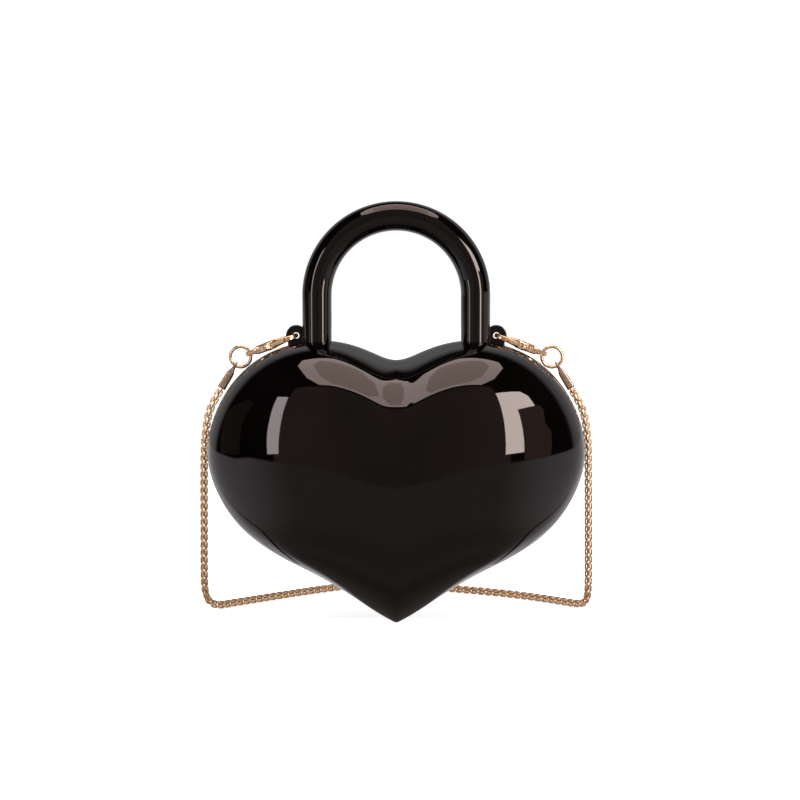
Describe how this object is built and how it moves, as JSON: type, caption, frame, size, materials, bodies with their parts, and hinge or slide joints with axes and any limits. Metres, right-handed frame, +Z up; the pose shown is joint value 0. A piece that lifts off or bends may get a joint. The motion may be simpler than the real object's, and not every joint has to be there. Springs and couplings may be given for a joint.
{
  "type": "heart shaped purse",
  "caption": "Heart-shaped hard-shell purse with a round arched handle and a clip-on chain strap; it opens like a clam on a hinge at the tip.",
  "frame": {"origin": "middle of the grip: the centre of the handle's bar at the top of its arch", "axes": "+X to the right as seen from the front, +Y to the back, +Z up"},
  "size_m": [0.2048, 0.1793, 0.2133],
  "materials": {
    "gloss_black": "high gloss black lacquer on moulded plastic",
    "lining": "black flock",
    "rose_gold": "polished pale rose-gold plating",
    "steel": "bright zinc plate",
    "magnet": "nickel plate"
  },
  "bodies": {
    "purse": {"rear_shell": "gloss_black", "handle": "gloss_black", "chain_lug_left": "gloss_black", "chain_lug_right": "gloss_black", "rear_liner": "lining", "jump_ring_left": "rose_gold", "jump_ring_right": "rose_gold", "chain_cap_left": "rose_gold", "chain_cap_right": "rose_gold", "clasp_body_left": "rose_gold", "clasp_body_right": "rose_gold", "shoulder_chain": "rose_gold", "handle_screws": "steel", "handle_washers": "steel", "lug_screws": "steel", "hinge_pin": "steel", "trigger_pin_left": "steel", "trigger_pin_right": "steel", "trigger_spring_left": "steel", "trigger_spring_right": "steel", "rear_magnets": "magnet"},
    "front_lid": {"front_shell": "gloss_black", "front_liner": "lining", "front_magnets": "magnet"},
    "left_trigger": {"clasp_trigger_left": "rose_gold"},
    "right_trigger": {"clasp_trigger_right": "rose_gold"}
  },
  "joints": [
    {"name": "lid_hinge", "type": "hinge", "parent": "purse", "child": "front_lid", "pos_m": [0, 0.005, -0.2004], "axis": [1, 0, 0], "range_deg": [0, 100]},
    {"name": "left_trigger_pivot", "type": "hinge", "parent": "purse", "child": "left_trigger", "pos_m": [-0.06366, -0.00145, -0.065], "axis": [-0.359, 0, 0.9333], "range_deg": [0, 25], "stiffness_Nm_per_rad": 0.01, "springref_deg": -11.46},
    {"name": "right_trigger_pivot", "type": "hinge", "parent": "purse", "child": "right_trigger", "pos_m": [0.06366, -0.00145, -0.065], "axis": [-0.359, 0, -0.9333], "range_deg": [0, 25], "stiffness_Nm_per_rad": 0.01, "springref_deg": -11.46}
  ]
}
